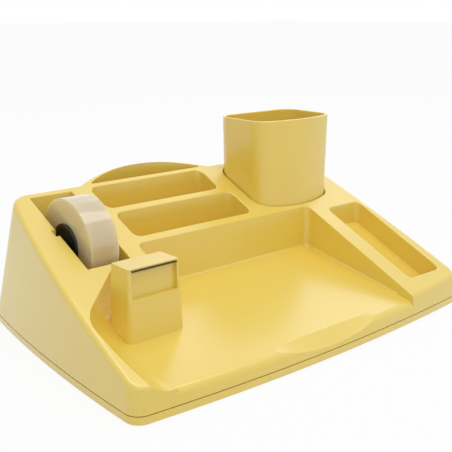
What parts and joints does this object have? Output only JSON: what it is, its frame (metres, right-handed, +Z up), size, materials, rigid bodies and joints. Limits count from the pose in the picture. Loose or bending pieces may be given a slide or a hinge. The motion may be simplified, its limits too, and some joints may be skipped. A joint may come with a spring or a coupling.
{
  "type": "tape dispenser organizer",
  "caption": "Sloped moulded desk organizer with tape well and cutter, note-pad recess, small trays, letter slot and a lift-out pencil cup.",
  "frame": {"origin": "on the desk top, under the middle of the base", "axes": "+Z up, front of the organizer faces -Y, +X to the right seen from the front"},
  "size_m": [0.3672, 0.261, 0.1665],
  "materials": {
    "yellow_plastic": "satin",
    "black_plastic": "satin",
    "core_plastic": "satin",
    "tape": "gloss",
    "axle_steel": "satin",
    "blade_steel": "satin",
    "screw_steel": "satin",
    "weight_steel": "matte",
    "foot_rubber": "matte"
  },
  "bodies": {
    "organizer": {"top_housing": "yellow_plastic", "base_plate": "yellow_plastic", "cutter_blade": "blade_steel", "housing_screws": "screw_steel", "ballast_plate": "weight_steel", "ballast_screws": "screw_steel", "foot_front_left": "foot_rubber", "foot_front_right": "foot_rubber", "foot_rear_left": "foot_rubber", "foot_rear_right": "foot_rubber"},
    "cup": {"pencil_cup": "yellow_plastic"},
    "axle": {"hub_axle": "axle_steel"},
    "roll": {"tape_hub": "black_plastic", "tape_core": "core_plastic", "tape_roll": "tape"}
  },
  "joints": [
    {"name": "cup_lift", "type": "slide", "parent": "organizer", "child": "cup", "axis": [0, 0, 1], "range_m": [0, 0.07]},
    {"name": "axle_lift", "type": "slide", "parent": "organizer", "child": "axle", "axis": [0, 0, 1], "range_m": [0, 0.095]},
    {"name": "roll_spin", "type": "hinge", "parent": "axle", "child": "roll", "pos_m": [-0.1285, 0.0325, 0.08295], "axis": [1, 0, 0], "continuous": true}
  ]
}
